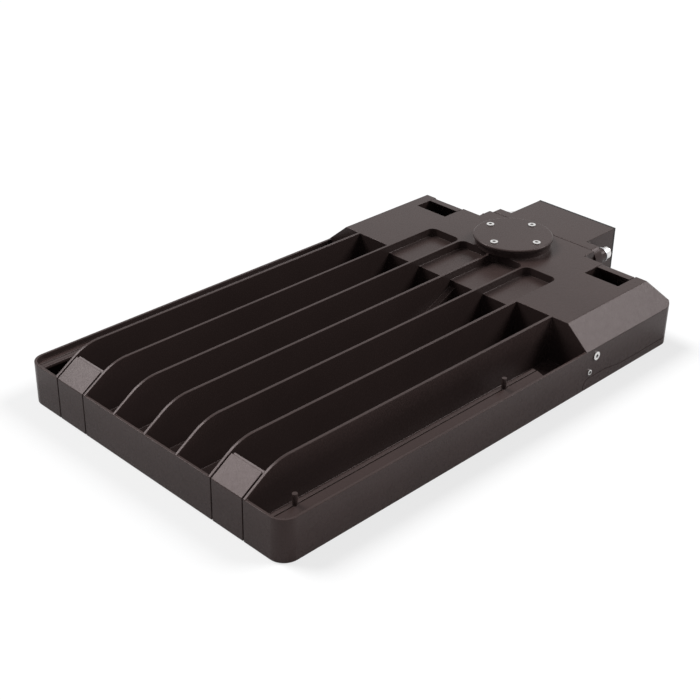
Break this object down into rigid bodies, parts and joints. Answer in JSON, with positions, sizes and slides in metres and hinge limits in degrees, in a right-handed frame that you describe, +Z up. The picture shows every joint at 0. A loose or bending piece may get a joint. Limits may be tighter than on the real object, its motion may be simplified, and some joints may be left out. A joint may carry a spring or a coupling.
{
  "type": "pole-mount area light",
  "caption": "Flat shoebox area light with a finned cast tray, a closed rear driver compartment with latches, a round cover plate and a short pole arm.",
  "frame": {"origin": "centre of the wire entry at the pole face, the outermost rear face of the arm", "axes": "+Y out of the pole face, away from the light; +Z up, with the light shining down; +X to the right seen from behind the light's front edge looking towards the pole"},
  "size_m": [0.3428, 0.586, 0.0745],
  "materials": {
    "casting": "satin",
    "insert": "satin",
    "latch": "satin",
    "cover_plate": "satin",
    "steel": "satin",
    "bracket": "satin",
    "gasket": "matte",
    "silicone": "matte",
    "board": "satin",
    "lens": "gloss",
    "driver_case": "satin",
    "surge_case": "matte",
    "terminal": "matte",
    "ground": "satin",
    "red_lead": "satin",
    "black_lead": "satin",
    "white_lead": "satin"
  },
  "bodies": {
    "light": {"housing": "casting", "front_insert_left": "insert", "front_insert_right": "insert", "insert_screws": "steel", "hinge_bracket_left": "bracket", "hinge_bracket_right": "bracket", "hinge_pins": "steel", "hinge_screws_large": "steel", "hinge_screws_small": "steel", "cover_gasket": "gasket", "cover_plate": "cover_plate", "cover_screws": "steel", "arm_gasket": "gasket", "mounting_arm": "casting", "arm_bolts": "steel", "arm_washers": "steel", "arm_cover": "casting", "arm_cover_screws": "steel", "pole_gasket": "gasket", "wire_grommet": "gasket", "led_board_1": "board", "led_board_2": "board", "led_board_3": "board", "led_board_4": "board", "lens_gaskets": "silicone", "lens_array_1": "lens", "lens_array_2": "lens", "lens_array_3": "lens", "lens_array_4": "lens", "lens_screws": "steel", "led_driver": "driver_case", "surge_protector": "surge_case", "terminal_block": "terminal", "component_screws": "steel", "ground_screw": "ground", "led_leads": "red_lead", "driver_leads": "black_lead", "surge_leads": "white_lead", "supply_leads": "black_lead"},
    "door": {"driver_door": "casting", "door_gasket": "gasket", "latch_pin_left": "steel", "latch_pin_right": "steel"},
    "latch_left_lever": {"latch_left": "latch"},
    "latch_right_lever": {"latch_right": "latch"}
  },
  "joints": [
    {"name": "door_hinge", "type": "hinge", "parent": "light", "child": "door", "pos_m": [0, -0.2012, -0.032], "axis": [-1, 0, 0], "range_deg": [0, 85]},
    {"name": "latch_left_pivot", "type": "hinge", "parent": "door", "child": "latch_left_lever", "pos_m": [-0.1125, -0.076, -0.0265], "axis": [-1, 0, 0], "range_deg": [0, 30]},
    {"name": "latch_right_pivot", "type": "hinge", "parent": "door", "child": "latch_right_lever", "pos_m": [0.1125, -0.076, -0.0265], "axis": [-1, 0, 0], "range_deg": [0, 30]}
  ]
}
